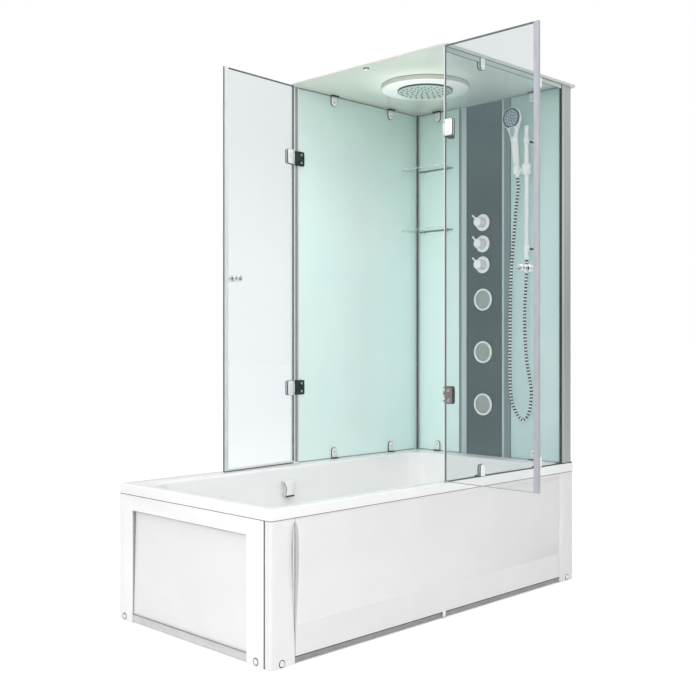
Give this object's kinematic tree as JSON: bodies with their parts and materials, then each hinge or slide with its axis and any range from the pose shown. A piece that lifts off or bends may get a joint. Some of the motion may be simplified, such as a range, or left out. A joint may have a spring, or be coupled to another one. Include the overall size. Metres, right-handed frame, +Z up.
{
  "type": "tub and shower unit",
  "caption": "Bath with an enclosing glass shower cabin over one half, hinged glass doors, a shower column with valves and jets, a hand shower and a ceiling rain shower.",
  "frame": {"origin": "on the floor under the middle of the bath, at the centre foot's lower face", "axes": "+X along the bath from its free end to the shower column, +Y from the front to the wall behind, +Z up"},
  "size_m": [1.715, 1.2556, 2.1324],
  "materials": {
    "acrylic": "glossy white acrylic",
    "frame_steel": "grey satin paint",
    "aluminium": "satin anodised",
    "dark_glass": "dark grey glass, glossy",
    "white_plastic": "glossy white",
    "clear_glass": "clear safety glass with a green tint",
    "seal": "translucent seal",
    "waste_plastic": "matte",
    "brass": "raw brass",
    "jet_face": "grey nozzle face in a chrome ring",
    "hose": "ribbed metal hose",
    "chrome": "polished"
  },
  "bodies": {
    "unit": {"bath_shell": "acrylic", "support_frame": "frame_steel", "front_panel": "acrylic", "corner_cover_front_left": "acrylic", "corner_cover_front_right": "acrylic", "end_panel_left": "acrylic", "bath_waste": "waste_plastic", "bath_spout": "chrome", "post_rear_left": "aluminium", "post_rear_corner": "dark_glass", "post_front_right": "aluminium", "front_fixed_glass": "clear_glass", "rear_wall_glass": "clear_glass", "side_wall_glass_rear": "clear_glass", "side_wall_glass_front": "clear_glass", "glass_clamp_rear_1": "chrome", "glass_clamp_rear_2": "chrome", "glass_clamp_front_1": "chrome", "glass_clamp_front_2": "chrome", "glass_clamp_side_1": "chrome", "glass_clamp_side_2": "chrome", "roof": "white_plastic", "rain_shower_ring": "white_plastic", "rain_shower_plate": "chrome", "shelf_lower": "clear_glass", "shelf_upper": "clear_glass", "column_housing": "aluminium", "column_face": "dark_glass", "mixer_block": "brass", "valve_rosette_upper": "chrome", "valve_rosette_middle": "chrome", "valve_rosette_lower": "chrome", "body_jet_upper": "jet_face", "body_jet_middle": "jet_face", "body_jet_lower": "jet_face", "shower_rail": "chrome", "shower_hose": "hose", "left_hinge_bracket_lower": "chrome", "left_hinge_bracket_upper": "chrome", "right_hinge_bracket_lower": "chrome", "right_hinge_bracket_upper": "chrome"},
    "left_door": {"left_door_glass": "clear_glass", "left_door_seal": "seal", "left_door_knob": "chrome", "left_door_hinge_lower": "chrome", "left_door_hinge_upper": "chrome"},
    "right_door": {"right_door_glass": "clear_glass", "right_door_seal": "seal", "right_door_knob": "chrome", "right_door_hinge_lower": "chrome", "right_door_hinge_upper": "chrome"},
    "upper_valve": {"valve_handle_upper": "chrome"},
    "middle_valve": {"valve_handle_middle": "chrome"},
    "lower_valve": {"valve_handle_lower": "chrome"},
    "slider": {"rail_slider": "chrome"},
    "holder": {"handset_holder": "chrome"},
    "handset": {"handset_body": "chrome"},
    "spray_face": {"handset_spray_face": "white_plastic"},
    "overflow_knob": {"overflow_knob": "chrome"},
    "drain_plug": {"drain_plug": "chrome"}
  },
  "joints": [
    {"name": "left_door_hinge", "type": "hinge", "parent": "unit", "child": "left_door", "pos_m": [-0.006, 0.4081, 1.3], "axis": [0, 0, 1], "range_deg": [-4.4, 85.6]},
    {"name": "right_door_hinge", "type": "hinge", "parent": "unit", "child": "right_door", "pos_m": [-0.006, -0.4146, 1.3], "axis": [0, 0, 1], "range_deg": [-180, 0]},
    {"name": "upper_valve_turn", "type": "hinge", "parent": "unit", "child": "upper_valve", "pos_m": [0.78, 0.022, 1.55], "axis": [-1, 0, 0], "range_deg": [-90, 90]},
    {"name": "middle_valve_turn", "type": "hinge", "parent": "unit", "child": "middle_valve", "pos_m": [0.78, 0.022, 1.453], "axis": [-1, 0, 0], "range_deg": [0, 90]},
    {"name": "lower_valve_turn", "type": "hinge", "parent": "unit", "child": "lower_valve", "pos_m": [0.78, 0.022, 1.358], "axis": [-1, 0, 0], "range_deg": [-60, 60]},
    {"name": "slider_slide", "type": "slide", "parent": "unit", "child": "slider", "axis": [0, 0, 1], "range_m": [-0.3, 0.03], "deforming": ["shower_hose"]},
    {"name": "holder_tilt", "type": "hinge", "parent": "slider", "child": "holder", "pos_m": [0.748, -0.203, 1.752], "axis": [0, -1, 0], "range_deg": [-5, 35], "deforming": ["shower_hose"]},
    {"name": "handset_lift", "type": "slide", "parent": "holder", "child": "handset", "axis": [0, 0.0976, 0.9952], "range_m": [0, 0.03], "deforming": ["shower_hose"]},
    {"name": "spray_face_turn", "type": "hinge", "parent": "handset", "child": "spray_face", "pos_m": [0.748, -0.18036, 1.98289], "axis": [-1, 0, 0], "range_deg": [-60, 60]},
    {"name": "overflow_knob_turn", "type": "hinge", "parent": "unit", "child": "overflow_knob", "pos_m": [-0.783, 0.057, 0.462], "axis": [1, 0, 0], "range_deg": [0, 90]},
    {"name": "drain_plug_lift", "type": "slide", "parent": "unit", "child": "drain_plug", "axis": [0, 0, 1], "range_m": [0, 0.008]}
  ],
  "couplings": [
    {"joint": "drain_plug_lift", "follows": "overflow_knob_turn", "m_per_rad": 0.0050929}
  ]
}
